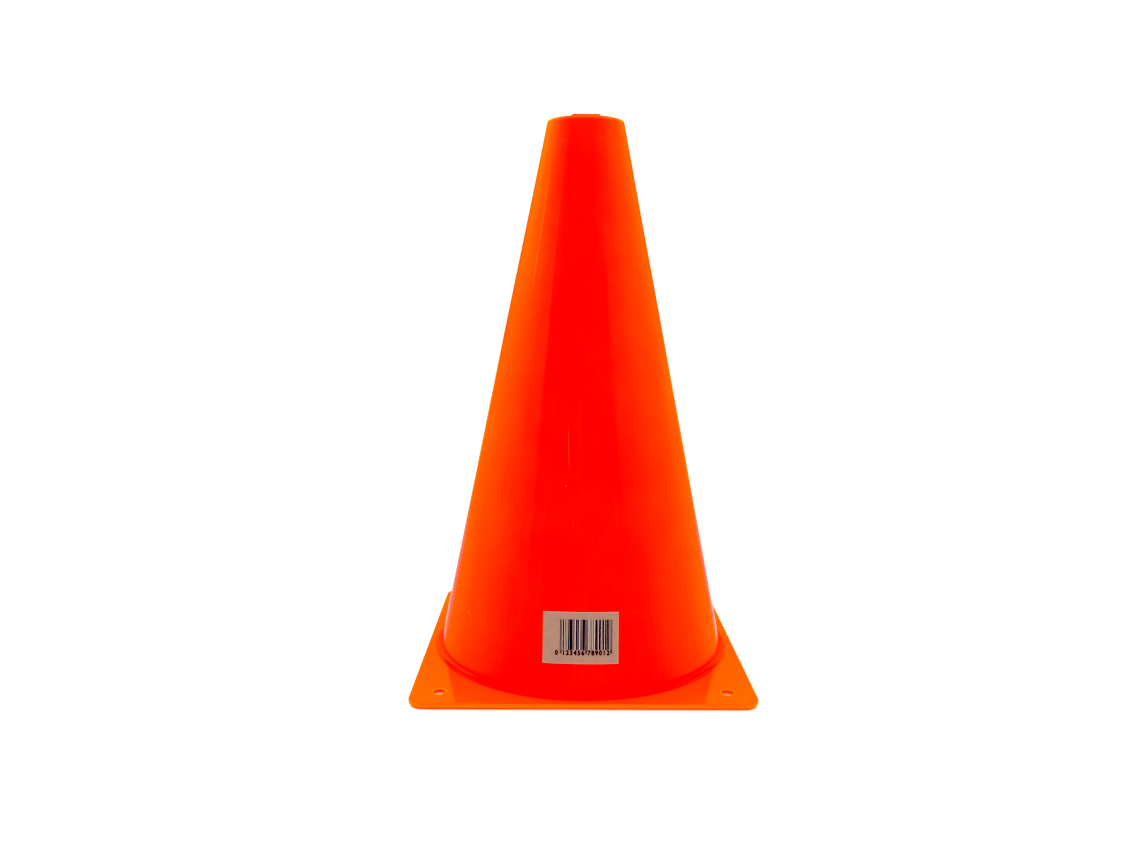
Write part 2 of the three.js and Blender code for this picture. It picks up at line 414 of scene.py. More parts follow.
def hole_cutter(x, y):
    """A closed turned shape to cut a corner hole with, flared at the top to round the hole's upper edge."""
    flare = HOLE_RADIUS + HOLE_ROUNDING
    profile = [(HOLE_RADIUS, -1.0)]
    profile += arc(flare, FOOT_HEIGHT - HOLE_ROUNDING, HOLE_ROUNDING, math.pi, QUARTER, 8)
    profile += [(flare, FOOT_HEIGHT + 1.0)]
    vertices = [Vector((0, 0, -1.0))]
    for radius, height in profile:
        for step in range(HOLE_STEPS):
            angle = 2 * math.pi * step / HOLE_STEPS
            vertices.append(Vector((radius * math.cos(angle), radius * math.sin(angle), height)))
    vertices.append(Vector((0, 0, FOOT_HEIGHT + 1.0)))
    faces = []
    for step in range(HOLE_STEPS):
        after = (step + 1) % HOLE_STEPS
        faces.append((0, 1 + after, 1 + step))
        for ring in range(len(profile) - 1):
            base = 1 + ring * HOLE_STEPS
            above = base + HOLE_STEPS
            faces.append((base + step, base + after, above + after, above + step))
        base = 1 + (len(profile) - 1) * HOLE_STEPS
        faces.append((base + step, base + after, len(vertices) - 1))
    return mesh_object("hole_cutter", [(v + Vector((x, y, 0))) * MM for v in vertices], faces)


def cut(piece, cutter):
    """The cutter is taken away from the piece, and then removed."""
    step = piece.modifiers.new("cut", "BOOLEAN")
    step.operation = "DIFFERENCE"
    step.solver = "EXACT"
    step.object = cutter
    graph = bpy.context.evaluated_depsgraph_get()
    mesh = bpy.data.meshes.new_from_object(piece.evaluated_get(graph))
    piece.modifiers.clear()
    old = piece.data
    piece.data = mesh
    bpy.data.meshes.remove(old)
    spare = cutter.data
    bpy.data.objects.remove(cutter)
    bpy.data.meshes.remove(spare)


def merge_close_points(mesh):
    """Joins the points that a cut leaves almost on each other."""
    joined = bmesh.new()
    joined.from_mesh(mesh)
    bmesh.ops.dissolve_degenerate(joined, dist=0.002 * MM, edges=joined.edges)
    joined.to_mesh(mesh)
    joined.free()


def cone_moulding():
    """The whole one-piece moulding."""
    outside = circle_rings(gate_profile()) + boss_rings() + circle_rings(wall_profile())
    edge = flange_rings() + skirt_rings()
    inside = circle_rings(inner_profile())
    rings = outside + blend_rings(outside[-1], edge[0], 8) + edge
    rings += blend_rings(edge[-1], inside[0], 8) + inside
    gate_top = RIM_HEIGHT + BOSS_RISE + GATE_HEIGHT
    ceiling = RIM_HEIGHT - TOP_THICKNESS + BOSS_RISE
    piece = skin("cone_body", Vector((0, 0, gate_top)), rings, Vector((0, 0, ceiling)), uneven)
    for x in (-HOLE_OFFSET, HOLE_OFFSET):
        for y in (-HOLE_OFFSET, HOLE_OFFSET):
            cut(piece, hole_cutter(x, y))
    merge_close_points(piece.data)
    piece.data.name = "cone_body"
    shade_smooth(piece)
    return piece


# ---- Label -----------------------------------------------------------------------------------------------


def on_label(across, up, outwards):
    """A point of the flat label, rolled onto the front of the cone's wall. Result in metres."""
    sine, cosine = math.sin(HALF_ANGLE), math.cos(HALF_ANGLE)
    apex_height = FOOT_HEIGHT + FOOT_RADIUS / TAPER
    middle_radius = wall_radius(LABEL_MIDDLE_HEIGHT)
    from_apex = middle_radius / sine - up
    slant = math.hypot(across, from_apex)
    angle = math.atan2(across, from_apex) / sine + LABEL_SHIFT / middle_radius
    radius = slant * sine + outwards * cosine
    height = apex_height - slant * cosine + outwards * sine
    flat = Vector((radius * math.sin(angle), -radius * math.cos(angle), height))
    return uneven(flat) * MM


def paper_lift(across, up):
    """How far the paper stands off the glue: a curl at its corners and faint ripples."""
    sideways = abs(across) / (LABEL_WIDTH / 2)
    upright = abs(up) / (LABEL_HEIGHT / 2)
    curl = PAPER_CURL * max(0.0, sideways - CURL_FROM_SIDE) ** 1.5 * max(0.0, upright - CURL_FROM_END)
    ripple = PAPER_RIPPLE * (1 + noise.noise(Vector((across / 5.0, up / 4.0, 2.0))))
    return curl + ripple


def paper_points():
    """Points of the paper's underside and then of its face, in rows, with slightly uneven cut edges."""
    points = []
    for level in (PAPER_CLEARANCE, PAPER_TOP):
        for row in range(PAPER_ROWS + 1):
            for column in range(PAPER_COLUMNS + 1):
                across = LABEL_WIDTH * (column / PAPER_COLUMNS - 0.5)
                up = LABEL_HEIGHT * (row / PAPER_ROWS - 0.5)
                if column in (0, PAPER_COLUMNS):
                    across += PAPER_EDGE_WAVE * noise.noise(Vector((up * 1.5, column, 0.0)))
                if row in (0, PAPER_ROWS):
                    up += PAPER_EDGE_WAVE * noise.noise(Vector((across * 1.5, row, 5.0)))
                points.append(on_label(across, up, level + paper_lift(across, up)))
    return points


def edge_strip(a, b, layer, swap):
    """A face of the paper's cut edge, between two neighbouring points and those a layer above them."""
    strip = (a, b, b + layer, a + layer)
    return strip[::-1] if swap else strip


def label_paper():
    """The label's face paper: a thin closed sheet with lifted corners."""
    row_length = PAPER_COLUMNS + 1
    layer = (PAPER_ROWS + 1) * row_length
    faces = []
    for row in range(PAPER_ROWS):
        for column in range(PAPER_COLUMNS):
            a = row * row_length + column + layer
            b, c, d = a + 1, a + 1 + row_length, a + row_length
            faces.append((a, b, c, d))
            faces.append((d - layer, c - layer, b - layer, a - layer))
    for column in range(PAPER_COLUMNS):
        for row, swap in ((0, False), (PAPER_ROWS, True)):
            a = row * row_length + column
            faces.append(edge_strip(a, a + 1, layer, swap))
    for row in range(PAPER_ROWS):
        for column, swap in ((0, True), (PAPER_COLUMNS, False)):
            a = row * row_length + column
            faces.append(edge_strip(a, a + row_length, layer, swap))
    piece = mesh_object("label_face_paper", paper_points(), faces)
    shade_smooth(piece, 50.0)
    return piece


def on_paper(across, up, above):
    """A point of the print, just above the paper's face or sunk slightly into it. Result in metres."""
    ink = INK_THICKNESS if above else -INK_SINK
    return on_label(across, up, PAPER_TOP + paper_lift(across, up) + ink)


def code_modules(code):
    """The modules of a 13-digit retail code as a string, with 1 for black."""
    odd = ["0001101", "0011001", "0010011", "0111101", "0100011"]
    odd += ["0110001", "0101111", "0111011", "0110111", "0001011"]
    right = ["".join("1" if bit == "0" else "0" for bit in digit) for digit in odd]
    even = [digit[::-1] for digit in right]
    parity = ["OOOOOO", "OOEOEE", "OOEEOE", "OOEEEO", "OEOOEE"]
    parity += ["OEEOOE", "OEEEOO", "OEOEOE", "OEOEEO", "OEEOEO"]
    left_half = ""
    for digit, kind in zip(code[1:7], parity[int(code[0])]):
        left_half += odd[int(digit)] if kind == "O" else even[int(digit)]
    right_half = "".join(right[int(digit)] for digit in code[7:])
    return "101" + left_half + "01010" + right_half + "101"


def is_guard(module):
    """Whether a bar that starts at a module is one of the code's longer guard bars."""
    left = module < GUARD_MODULES
    middle = MIDDLE_GUARD_START <= module < RIGHT_HALF_START
    right = module >= CODE_MODULES - GUARD_MODULES
    return left or middle or right


def bar_runs(code):
    """(first module, modules wide) of each printed bar."""
    modules = code_modules(code)
    runs, start = [], 0
    while start < CODE_MODULES:
        end = start + 1
        while end < CODE_MODULES and modules[end] == modules[start]:
            end += 1
        if modules[start] == "1":
            runs.append((start, end - start))
        start = end
    return runs


def printed_bars():
    """The bars of the code as thin ink strips on the paper."""
    vertices, faces = [], []
    for first, wide in bar_runs(CODE):
        left = BARS_LEFT + first * MODULE - INK_SPREAD
        right = left + wide * MODULE + 2 * INK_SPREAD
        bottom = GUARD_BOTTOM if is_guard(first) else BARS_BOTTOM
        start = len(vertices)
        for step in range(BAR_STEPS + 1):
            up = bottom + (BARS_TOP - bottom) * step / BAR_STEPS
            for across, above in ((left, False), (right, False), (right, True), (left, True)):
                vertices.append(on_paper(across, up, above))
        for step in range(BAR_STEPS):
            low = start + 4 * step
            for k in range(4):
                after = (k + 1) % 4
                faces.append((low + 4 + k, low + 4 + after, low + after, low + k))
        faces.append((start, start + 1, start + 2, start + 3))
        top = start + 4 * BAR_STEPS
        faces.append((top + 3, top + 2, top + 1, top))
    piece = mesh_object("label_print_bars", vertices, faces)
    shade_smooth(piece, 30.0)
    return piece


def digit_places():
    """(digit, left edge on the label) of the 13 printed digits."""
    places = [(CODE[0], LEADING_DIGIT_LEFT)]
    for half, start in ((CODE[1:7], GUARD_MODULES + 1), (CODE[7:], RIGHT_HALF_START)):
        for order, digit in enumerate(half):
            places.append((digit, BARS_LEFT + (start + DIGIT_MODULES * order) * MODULE))
    return places


def digit_mesh(digit, left):
    """One printed digit as a mesh, rolled onto the label."""
    words = bpy.data.curves.new("digit", "FONT")
    words.body = digit
    words.size = DIGIT_HEIGHT / FONT_DIGIT_SHARE
    words.resolution_u = 6
    words.extrude = 0.5
    words.bevel_depth = DIGIT_BOLDNESS
    words.bevel_resolution = 0
    holder = bpy.data.objects.new("digit", words)
    bpy.context.scene.collection.objects.link(holder)
    graph = bpy.context.evaluated_depsgraph_get()
    mesh = bpy.data.meshes.new_from_object(holder.evaluated_get(graph))
    bpy.data.objects.remove(holder)
    bpy.data.curves.remove(words)
    for vertex in mesh.vertices:
        x, y, z = vertex.co
        vertex.co = on_paper(left + DIGIT_NARROWING * x, DIGIT_BASELINE + y, z > 0)
    return mesh


def printed_digits():
    """The small digits under the code, as thin ink on the paper."""
    joined = bmesh.new()
    for digit, left in digit_places():
        mesh = digit_mesh(digit, left)
        joined.from_mesh(mesh)
        bpy.data.meshes.remove(mesh)
    bmesh.ops.remove_doubles(joined, verts=joined.verts, dist=0.001 * MM)
    made = bpy.data.meshes.new("label_print_digits")
    joined.to_mesh(made)
    joined.free()
    piece = bpy.data.objects.new("label_print_digits", made)
    bpy.context.scene.collection.objects.link(piece)
    return piece


# ---- Node graphs -----------------------------------------------------------------------------------------


class Graph:
    """Short calls for building one node tree."""

    def __init__(self, tree):
        self.tree = tree

    def add(self, kind, inputs=None, **settings):
        """A node with settings and inputs. An input is a value or another node's output."""
        node = self.tree.nodes.new(kind)
        for name, value in settings.items():
            setattr(node, name, value)
        for name, value in (inputs or {}).items():
            self.put(node.inputs[name], value)
        return node

    def put(self, socket, value):
        """A value or a link into a socket."""
        if isinstance(value, bpy.types.NodeSocket):
            self.tree.links.new(value, socket)
        else:
            socket.default_value = value

    def math(self, operation, first, second=0.0, third=0.0):
        """The output of a Math node."""
        return self.add("ShaderNodeMath", {0: first, 1: second, 2: third}, operation=operation).outputs[0]

    def chain(self, operation, values):
        """Several values put together by Math nodes of one kind."""
        total = values[0]
        for value in values[1:]:
            total = self.math(operation, total, value)
        return total

    def sum(self, *values):
        """The sum of several values."""
        return self.chain("ADD", values)

    def product(self, *values):
        """The product of several values."""
        return self.chain("MULTIPLY", values)

    def largest(self, *values):
        """The largest of several values."""
        return self.chain("MAXIMUM", values)

    def minus(self, first, second):
        """The first value less the second."""
        return self.math("SUBTRACT", first, second)

    def absolute(self, value):
        """A value without its sign."""
        return self.math("ABSOLUTE", value)

    def diagonal(self, x, y):
        """The length of (x, y)."""
        return self.math("SQRT", self.sum(self.product(x, x), self.product(y, y)))

    def vector(self, operation, first, second=(0.0, 0.0, 0.0)):
        """The vector output of a Vector Math node."""
        node = self.add("ShaderNodeVectorMath", {0: first, 1: second}, operation=operation)
        return node.outputs["Vector"]

    def length(self, vector):
        """The length of a vector."""
        return self.add("ShaderNodeVectorMath", {0: vector}, operation="LENGTH").outputs["Value"]

    def noise(self, vector, scale, detail=2.0, roughness=0.5):
        """The grey output of a Noise node."""
        inputs = {"Vector": vector, "Scale": scale, "Detail": detail, "Roughness": roughness}
        return self.add("ShaderNodeTexNoise", inputs).outputs["Fac"]

    def ramp(self, value, low, high, start=0.0, end=1.0):
        """A value mapped smoothly from one range to another, and held outside it."""
        inputs = {"Value": value, "From Min": low, "From Max": high, "To Min": start, "To Max": end}
        return self.add("ShaderNodeMapRange", inputs, interpolation_type="SMOOTHSTEP").outputs["Result"]

    def band(self, value, low, high, soft):
        """1 between two values of something, fading over soft at both ends."""
        rising = self.ramp(value, low - soft, low + soft)
        falling = self.ramp(value, high - soft, high + soft, 1.0, 0.0)
        return self.product(rising, falling)

    def blend(self, share, first, second):
        """Two values mixed."""
        return self.add("ShaderNodeMix", {0: share, 2: first, 3: second}).outputs[0]

    def mix(self, share, first, second):
        """Two colours mixed."""
        node = self.add("ShaderNodeMix", data_type="RGBA")
        colours = [socket for socket in node.inputs if socket.type == "RGBA"]
        self.put(node.inputs[0], share)
        self.put(colours[0], first)
        self.put(colours[1], second)
        return next(socket for socket in node.outputs if socket.type == "RGBA")


class Surface(Graph):
    """A material's graph, with its place on the cone in millimetres."""

    def __init__(self, name):
        self.material = bpy.data.materials.new(name)
        self.material.use_nodes = True
        super().__init__(self.material.node_tree)
        self.shader = self.tree.nodes["Principled BSDF"]
        metres = self.add("ShaderNodeTexCoord").outputs["Object"]
        self.place = self.vector("MULTIPLY", metres, (1 / MM, 1 / MM, 1 / MM))
        axes = self.add("ShaderNodeSeparateXYZ", {0: self.place}).outputs
        self.x, self.y, self.height = axes[0], axes[1], axes[2]
        flat = self.add("ShaderNodeCombineXYZ", {0: self.x, 1: self.y}).outputs[0]
        self.around = self.vector("NORMALIZE", flat)
        self.radius = self.length(flat)
        self.azimuth = self.math("ARCTAN2", self.x, self.product(self.y, -1.0))
        unrolled = {0: self.product(self.azimuth, self.radius), 1: self.height}
        self.unrolled = self.add("ShaderNodeCombineXYZ", unrolled).outputs[0]

    def completed(self, colour, roughness, relief):
        """The material, with its colour, roughness and relief in millimetres linked to the shader."""
        bumped = self.add("ShaderNodeBump", {"Height": relief, "Distance": MM, "Strength": 1.0})
        self.put(self.shader.inputs["Base Color"], colour)
        self.put(self.shader.inputs["Roughness"], roughness)
        self.put(self.shader.inputs["Normal"], bumped.outputs[0])
        return self.material

    def stretched(self, turns, along, offset=0.0):
        """A place for noise in bands: detail per radian round the cone, and per millimetre up it."""
        lift = self.math("MULTIPLY_ADD", self.height, along, offset)
        up = self.add("ShaderNodeCombineXYZ", {2: lift}).outputs[0]
        inputs = {0: self.around, 1: (turns, turns, 0.0), 2: up}
        return self.add("ShaderNodeVectorMath", inputs, operation="MULTIPLY_ADD").outputs[0]

    def line(self, value, middle, width):
        """Thin lines where a noise crosses a value."""
        return self.ramp(self.absolute(self.minus(value, middle)), 0.0, width, 1.0, 0.0)

    def mark(self, azimuth_degrees, height, half_width, half_length, tilt_degrees=0.0):
        """A small elliptical mark on the wall, upright before its tilt."""
        across = math.radians(azimuth_degrees) * wall_radius(height)
        inputs = {"Vector": self.unrolled, "Location": (across, height, 0.0)}
        inputs["Rotation"] = (0.0, 0.0, math.radians(tilt_degrees))
        inputs["Scale"] = (half_width, half_length, 1.0)
        mapped = self.add("ShaderNodeMapping", inputs, vector_type="TEXTURE").outputs[0]
        return self.ramp(self.length(mapped), 0.55, 1.0, 1.0, 0.0)

    def worn_edges(self, low, high):
        """1 on convex edges of the mesh and 0 on its flats."""
        return self.ramp(self.add("ShaderNodeNewGeometry").outputs["Pointiness"], low, high)


# ---- Materials -------------------------------------------------------------------------------------------


def painted_edge_glow(surface):
    """1 at the plate's edge, the shoulder and the boss's edge, where a lighter orange paints a glow on the
    thin plastic.
    """
    aside, before = surface.absolute(surface.x), surface.absolute(surface.y)
    straight = FOOT_SIDE / 2 - FOOT_CORNER_RADIUS
    past_straight_x = surface.largest(surface.minus(aside, straight), 0.0)
    past_straight_y = surface.largest(surface.minus(before, straight), 0.0)
    reach = surface.diagonal(past_straight_x, past_straight_y)
    plate_edge = surface.ramp(reach, FOOT_CORNER_RADIUS - 0.9, FOOT_CORNER_RADIUS - 0.2)
    above_rim = surface.ramp(surface.height, RIM_HEIGHT - 2.0, RIM_HEIGHT - 0.3)
    from_rim = surface.absolute(surface.minus(surface.radius, RIM_RADIUS))
    shoulder = surface.product(above_rim, surface.ramp(from_rim, 0.8, 2.4, 1.0, 0.0))
    square = surface.largest(aside, before)
    boss = surface.product(above_rim, surface.band(square, BOSS_HALF - 0.6, BOSS_HALF + 1.0, 0.5))
    return surface.largest(plate_edge, shoulder, boss)


def painted_hole_rim_highlight(surface):
    """1 on the rounded rim round each corner hole, where a lighter orange paints a highlight."""
    beside_x = surface.minus(surface.absolute(surface.x), HOLE_OFFSET)
    beside_y = surface.minus(surface.absolute(surface.y), HOLE_OFFSET)
    from_hole = surface.diagonal(beside_x, beside_y)
    rim = surface.band(from_hole, HOLE_RADIUS + 0.05, HOLE_RADIUS + 0.5, 0.1)
    return surface.product(rim, surface.ramp(surface.height, FOOT_HEIGHT - 0.35, FOOT_HEIGHT - 0.1))


def unworn_orange_with_painted_light(surface, mottle, drag):
    """The plastic's colour, mottled and drawn up the wall, with painted light and shade: painted shade in the
    fillet, the plate and its corners lighter as painted light, a painted glow on thin edges and a painted
    highlight on the hole rims.
    """
    mottled = surface.mix(surface.ramp(mottle, 0.35, 0.7), WALL_ORANGE, WALL_ORANGE_LIGHT)
    wall = surface.mix(surface.product(drag, 0.3), mottled, DRAG_ORANGE)
    # Painted light on the plate and, further out, its corners
    painted_plate_light_share = surface.ramp(surface.radius, PLATE_INNER - 0.6, PLATE_INNER + 1.4)
    with_painted_plate_light = surface.mix(painted_plate_light_share, wall, PAINTED_LIT_PLATE_ORANGE)
    painted_corner_light_share = surface.ramp(surface.radius, 89.0, 106.0)
    with_painted_corner_light = surface.mix(painted_corner_light_share, with_painted_plate_light, PAINTED_LIT_CORNER_ORANGE)
    # Painted shade in the fillet
    fillet = surface.band(surface.radius, FOOT_RADIUS - 0.7, PLATE_INNER - 0.1, 0.2)
    outer_fillet_shade_share = surface.ramp(surface.radius, FOOT_RADIUS + 0.6, FOOT_RADIUS + 1.3)
    painted_fillet_shade = surface.mix(outer_fillet_shade_share, PAINTED_FILLET_SHADE_ORANGE, PAINTED_OUTER_FILLET_SHADE_ORANGE)
    with_painted_fillet_shade = surface.mix(fillet, with_painted_corner_light, painted_fillet_shade)
    # Painted glow on thin edges, then a painted highlight on the hole rims
    with_painted_edge_glow = surface.mix(painted_edge_glow(surface), with_painted_fillet_shade, PAINTED_EDGE_GLOW_ORANGE)
    return surface.mix(painted_hole_rim_highlight(surface), with_painted_edge_glow, PAINTED_HOLE_RIM_HIGHLIGHT_ORANGE)


def hairline_scratches(surface):
    """Hairline scratches in a few zones."""
    hairlines = surface.line(surface.noise(surface.stretched(11.0, 0.07, 2.0), 1.0, 2.0), 0.5, 0.006)
    zones = surface.ramp(surface.noise(surface.place, 0.022, 2.0), 0.56, 0.66)
    return surface.product(hairlines, zones)


def stacking_rub(surface):
    """Rings rubbed under the top, where other cones have been stacked over this one."""
    zone = surface.band(surface.height, RIM_HEIGHT - 17.0, RIM_HEIGHT - 7.0, 3.0)
    rings = surface.ramp(surface.noise(surface.stretched(5.0, 2.2), 1.0, 3.0), 0.56, 0.68)
    return surface.product(zone, rings)


def orange_plastic():
    """Glossy fluorescent orange polyethylene: drag lines up the wall, stacking rub, scratches and specks."""
    surface = Surface("orange_plastic")
    streaks = surface.noise(surface.stretched(40.0, 0.012), 1.0, 4.0, 0.55)
    wide_streaks = surface.noise(surface.stretched(9.0, 0.006, 4.0), 1.0, 3.0, 0.5)
    mottle = surface.noise(surface.place, 0.045, 4.0, 0.55)
    grain = surface.noise(surface.place, 1.7, 3.0, 0.6)
    on_wall = surface.ramp(surface.height, FOOT_HEIGHT + 2.0, FOOT_HEIGHT + 9.0)
    drag = surface.product(on_wall, surface.ramp(streaks, 0.5, 0.72))
    scratches = hairline_scratches(surface)
    light_marks = surface.sum(*[surface.mark(*place) for place in (LONG_SCRATCH, CHIP, SCUFF)])
    specks = surface.sum(*[surface.mark(*place) for place in (UPPER_SPECK, LOWER_SPECK)])
    wear = surface.sum(
        surface.product(stacking_rub(surface), 0.1),
        surface.product(scratches, 0.12),
        surface.product(light_marks, 0.4),
        surface.product(surface.worn_edges(0.53, 0.6), 0.2),
    )
    rubbed = surface.math("MINIMUM", wear, 1.0)
    worn = surface.mix(rubbed, unworn_orange_with_painted_light(surface, mottle, drag), RUBBED_ORANGE)
    colour = surface.mix(surface.product(specks, 0.8), worn, SPECK_BROWN)
    smudges = surface.ramp(wide_streaks, 0.35, 0.75, 0.0, 0.04)
    fine_grain = surface.math("MULTIPLY_ADD", grain, 0.03, 0.035)
    roughness = surface.sum(smudges, surface.product(rubbed, 0.3), fine_grain)
    relief = surface.sum(
        surface.product(streaks, on_wall, 0.012),
        surface.product(grain, 0.0015),
        surface.product(mottle, 0.05),
        surface.product(scratches, -0.006),
        surface.product(light_marks, 0.02),
    )
    surface.shader.inputs["IOR"].default_value = 1.5
    return surface.completed(colour, roughness, relief)


def label_zones(surface):
    """1 on the label's cut edges, and 1 behind the print, both found by unrolling the wall."""
    sine, middle_radius = math.sin(HALF_ANGLE), wall_radius(LABEL_MIDDLE_HEIGHT)
    apex = (0.0, 0.0, FOOT_HEIGHT + FOOT_RADIUS / TAPER)
    slant = surface.length(surface.vector("SUBTRACT", surface.place, apex))
    turned = surface.minus(surface.azimuth, LABEL_SHIFT / middle_radius)
    angle = surface.product(turned, sine)
    across = surface.product(slant, surface.math("SINE", angle))
    down = surface.product(slant, surface.math("COSINE", angle))
    up = surface.minus(middle_radius / sine, down)
    past_sides = surface.minus(surface.absolute(across), LABEL_WIDTH / 2)
    past_ends = surface.minus(surface.absolute(up), LABEL_HEIGHT / 2)
    border = surface.ramp(surface.largest(past_sides, past_ends), -0.5, -0.15)
    columns = surface.band(across, BARS_LEFT, BARS_LEFT + CODE_MODULES * MODULE, 0.2)
    rows = surface.band(up, BARS_BOTTOM, BARS_TOP, 0.2)
    return border, surface.product(columns, rows)


def label_face():
    """Uncoated beige-grey label paper with short fibres, faint stains and pale cut edges."""
    surface = Surface("label_face")
    fibres = surface.noise(surface.place, 7.0, 5.0, 0.7)
    cloud = surface.noise(surface.place, 0.35, 3.0, 0.5)
    threads = surface.line(surface.noise(surface.place, 2.3, 3.0), 0.5, 0.02)
    border, print_zone = label_zones(surface)
    stained = surface.mix(surface.ramp(cloud, 0.35, 0.65), PAPER_BEIGE, PAPER_BEIGE_LIGHT)
    fibrous = surface.mix(surface.ramp(fibres, 0.4, 0.7, 0.0, 0.4), stained, PAPER_FIBRE)
    threaded = surface.mix(surface.product(threads, 0.12), fibrous, PAPER_THREAD)
    heated = surface.mix(print_zone, threaded, PAPER_BEHIND_PRINT)
    colour = surface.mix(border, heated, PAPER_CUT_EDGE)
    surface.shader.inputs["Specular IOR Level"].default_value = 0.3
    roughness = surface.ramp(fibres, 0.3, 0.7, 0.62, 0.8)
    return surface.completed(colour, roughness, surface.product(fibres, 0.006))


def printed_ink():
    """Black thermal print, slightly glossy and thin in places."""
    surface = Surface("label_ink")
    wear = surface.noise(surface.place, 4.0, 4.0, 0.7)
    colour = surface.mix(surface.ramp(wear, 0.6, 0.78, 0.0, 0.25), INK_BLACK, INK_THIN)
    roughness = surface.ramp(wear, 0.3, 0.7, 0.4, 0.6)
    return surface.completed(colour, roughness, surface.product(wear, 0.003))


def clear_glue():
    """The thin film of glue behind the label, yellowish and tacky."""
    surface = Surface("label_glue")
    blobs = surface.noise(surface.place, 0.9, 3.0, 0.6)
    colour = surface.mix(blobs, GLUE_DARK, GLUE_PALE)
    roughness = surface.ramp(blobs, 0.3, 0.7, 0.25, 0.5)
    return surface.completed(colour, roughness, surface.product(blobs, 0.01))


def studio_floor():
    """Plain white painted floor, lifted towards pure white by a faint glow."""
    surface = Surface("studio_floor")
    cloud = surface.noise(surface.place, 0.01, 2.0, 0.5)
    colour = surface.mix(cloud, FLOOR_WHITE, FLOOR_WHITE_LIGHT)
    surface.put(surface.shader.inputs["Base Color"], colour)
    surface.shader.inputs["Roughness"].default_value = 0.8
    surface.shader.inputs["Emission Color"].default_value = FLOOR_GLOW
    surface.shader.inputs["Emission Strength"].default_value = 0.25
    return surface.material


# ---- Stage -----------------------------------------------------------------------------------------------


def add_floor(material):
    """A plain white sheet that the cone stands on. The plastic's gloss mirrors the surroundings instead."""
    corners = [Vector((x, y, FOOT_LOW.z)) for x, y in FLOOR_CORNERS]
    floor = mesh_object("floor", corners, [(0, 1, 2, 3)])
    floor.data.materials.append(material)
    floor.visible_glossy = False


def add_camera():
    """The camera in front of the cone and a little above its middle, looking slightly down."""
    data = bpy.data.cameras.new("camera")
    data.lens = CAMERA_LENS
    data.sensor_width = CAMERA_SENSOR
    data.clip_start = 0.01
    camera = bpy.data.objects.new("camera", data)
    bpy.context.scene.collection.objects.link(camera)
    turn = Matrix.Rotation(math.radians(CAMERA_TURN), 4, "Z")
    pitch = Matrix.Rotation(QUARTER - math.radians(CAMERA_PITCH_DOWN), 4, "X")
    roll = Matrix.Rotation(math.radians(CAMERA_ROLL), 4, "Z")
    place = Matrix.Translation(Vector(CAMERA_PLACE) * MM)
    camera.matrix_world = place @ (turn @ pitch @ roll)
    bpy.context.scene.camera = camera


def add_overhead_light():
    """A wide soft light above, kept out of the plastic's reflections."""
    data = bpy.data.lights.new("overhead", "AREA")
    data.shape = "SQUARE"
    data.size = OVERHEAD_SIZE
    data.energy = OVERHEAD_POWER
    light = bpy.data.objects.new("overhead", data)
    light.location = (0.0, 0.0, OVERHEAD_HEIGHT)
    light.visible_glossy = False
    light.visible_camera = False
    bpy.context.scene.collection.objects.link(light)


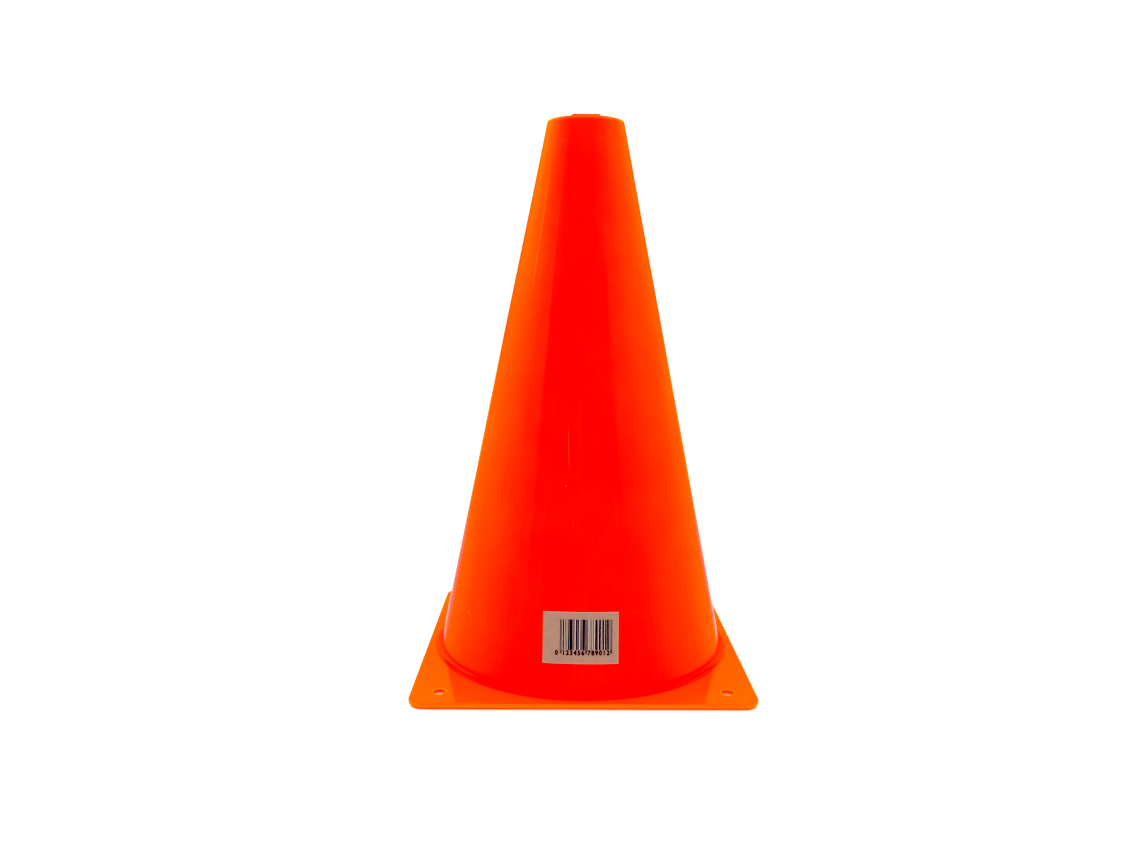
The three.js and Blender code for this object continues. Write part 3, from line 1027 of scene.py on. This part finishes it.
class Surroundings(Graph):
    """What the gloss mirrors in each direction. A direction is given in degrees: up from the horizon, round
    from the front, which is positive to the right, and aside, which is round without its sign."""

    def __init__(self, tree):
        super().__init__(tree)
        direction = self.add("ShaderNodeTexCoord").outputs["Generated"]
        axes = self.add("ShaderNodeSeparateXYZ", {0: direction}).outputs
        azimuth = self.math("ARCTAN2", axes[0], self.product(axes[1], -1.0))
        elevation = self.math("ARCSINE", axes[2])
        leaning = self.sum(self.math("MULTIPLY_ADD", elevation, 0.27, math.radians(3.2)), azimuth)
        self.round = self.product(leaning, math.degrees(1.0))
        self.aside = self.absolute(self.round)
        self.up = self.product(elevation, math.degrees(1.0))
        left_brighter = self.ramp(self.round, -20.0, 20.0, 1.05, 0.8)
        right_back = self.ramp(self.round, 115.0, 150.0, 0.0, 0.5)
        self.side_gain = self.sum(left_brighter, right_back)

    def side_panels(self):
        """Two panels with a sharp edge towards the dark front, brighter outwards and higher up."""
        low = self.ramp(self.aside, 50.0, 98.0, 0.14, 0.75)
        high = self.ramp(self.aside, 50.0, 94.0, 0.42, 1.08)
        brightness = self.blend(self.ramp(self.up, 3.0, 20.0), low, high)
        front_edge = self.ramp(self.aside, 45.4, 46.2)
        back_fade = self.ramp(self.aside, 108.0, 170.0, 1.0, 0.2)
        past_top = self.minus(self.up, self.ramp(self.aside, 100.0, 120.0, 36.0, 25.5))
        top_edge = self.ramp(past_top, -3.0, 3.0, 1.0, 0.04)
        return self.product(brightness, self.side_gain, front_edge, back_fade, top_edge)

    def back_panel(self):
        """A dimmer panel behind the cone."""
        lower_edge = self.ramp(self.up, 10.0, 19.0, 0.0, 0.45)
        top_edge = self.ramp(self.up, 26.0, 29.0, 1.0, 0.06)
        return self.product(self.ramp(self.aside, 125.0, 150.0), lower_edge, top_edge)

    def upper_strips(self):
        """A soft strip on both sides of the dark front, which the middle of the wall mirrors."""
        lower_edge = self.ramp(self.up, 20.0, 32.0)
        top_edge = self.ramp(self.up, 35.0, 42.0, 1.0, 0.0)
        inner_edge = self.ramp(self.aside, 28.0, 47.0, 0.0, 0.38)
        outer_edge = self.ramp(self.aside, 60.0, 85.0, 1.0, 0.0)
        return self.product(lower_edge, inner_edge, self.side_gain, top_edge, outer_edge)

    def upper_ring(self):
        """A faint ring high up all round, which the lower half of the wall mirrors."""
        lower_edge = self.ramp(self.up, 27.0, 36.0, 0.0, 0.32)
        top_edge = self.ramp(self.up, 42.0, 60.0, 1.0, 0.0)
        return self.product(lower_edge, top_edge)

    def below_horizon(self):
        """What lies under the horizon: dim in front, brighter to the sides, and bright far below."""
        sides = self.ramp(self.aside, 45.0, 92.0, 0.05, 0.62)
        back_fade = self.ramp(self.aside, 118.0, 152.0, 1.0, 0.55)
        far_below = self.ramp(self.up, -20.0, -13.0, 0.75, 0.0)
        return self.largest(self.product(sides, back_fade), far_below)

    def pattern(self):
        """The brightness in every direction."""
        above = self.largest(self.side_panels(), self.back_panel(), self.upper_strips(), self.upper_ring())
        return self.blend(self.ramp(self.up, -2.0, 1.0), self.below_horizon(), above)


def add_surroundings():
    """A plain white that the camera sees, with bright panels round a dark front for the gloss to mirror."""
    world = bpy.data.worlds.new("studio")
    world.use_nodes = True
    bpy.context.scene.world = world
    sky = Surroundings(world.node_tree)
    rays = sky.add("ShaderNodeLightPath").outputs
    diffuse_gain = sky.math("MULTIPLY_ADD", rays["Is Diffuse Ray"], 1.45, 1.0)
    lit = sky.product(sky.sum(sky.pattern(), 0.02), diffuse_gain)
    not_low_behind = sky.largest(sky.ramp(sky.up, -14.0, -8.0), sky.ramp(sky.aside, 140.0, 158.0, 1.0, 0.0))
    mirrored = sky.product(rays["Is Glossy Ray"], not_low_behind)
    background = world.node_tree.nodes["Background"]
    sky.put(background.inputs["Color"], sky.mix(mirrored, SEEN_WHITE, MIRRORED_YELLOW))
    sky.put(background.inputs["Strength"], sky.blend(rays["Is Camera Ray"], lit, 1.0))


def grade():
    """A plain view with a firm toe in red and green and a weaker one in blue, like a vivid camera setting."""
    view = bpy.context.scene.view_settings
    view.view_transform = "Standard"
    view.look = "None"
    view.exposure = 0.35
    view.use_curve_mapping = True
    curves = view.curve_mapping
    firm = [(0.042, 0.0005), (0.062, 0.012), (0.095, 0.045), (0.16, 0.125), (0.24, 0.225), (0.36, 0.36)]
    weak = [(0.02, 0.001), (0.05, 0.022), (0.1, 0.085), (0.18, 0.18)]
    for channel, points in ((0, firm), (1, firm), (2, weak)):
        for x, y in points:
            curves.curves[channel].points.new(x, y)
    curves.update()


# ---- Building --------------------------------------------------------------------------------------------


def place_piece(piece, material, replaced=None):
    """Gives a piece its material and slot, and puts it on the cone."""
    piece.data.materials.clear()
    piece.data.materials.append(material)
    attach(piece, "root")
    if replaced:
        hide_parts(replaced)


add_camera()
add_floor(studio_floor())
add_overhead_light()
add_surroundings()
grade()
place_piece(cone_moulding(), orange_plastic(), "cone_moulding")
place_piece(label_paper(), label_face(), "label_paper")
ink = printed_ink()
place_piece(printed_bars(), ink)
place_piece(printed_digits(), ink)
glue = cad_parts["label_adhesive"]
glue.data.materials.clear()
glue.data.materials.append(clear_glue())
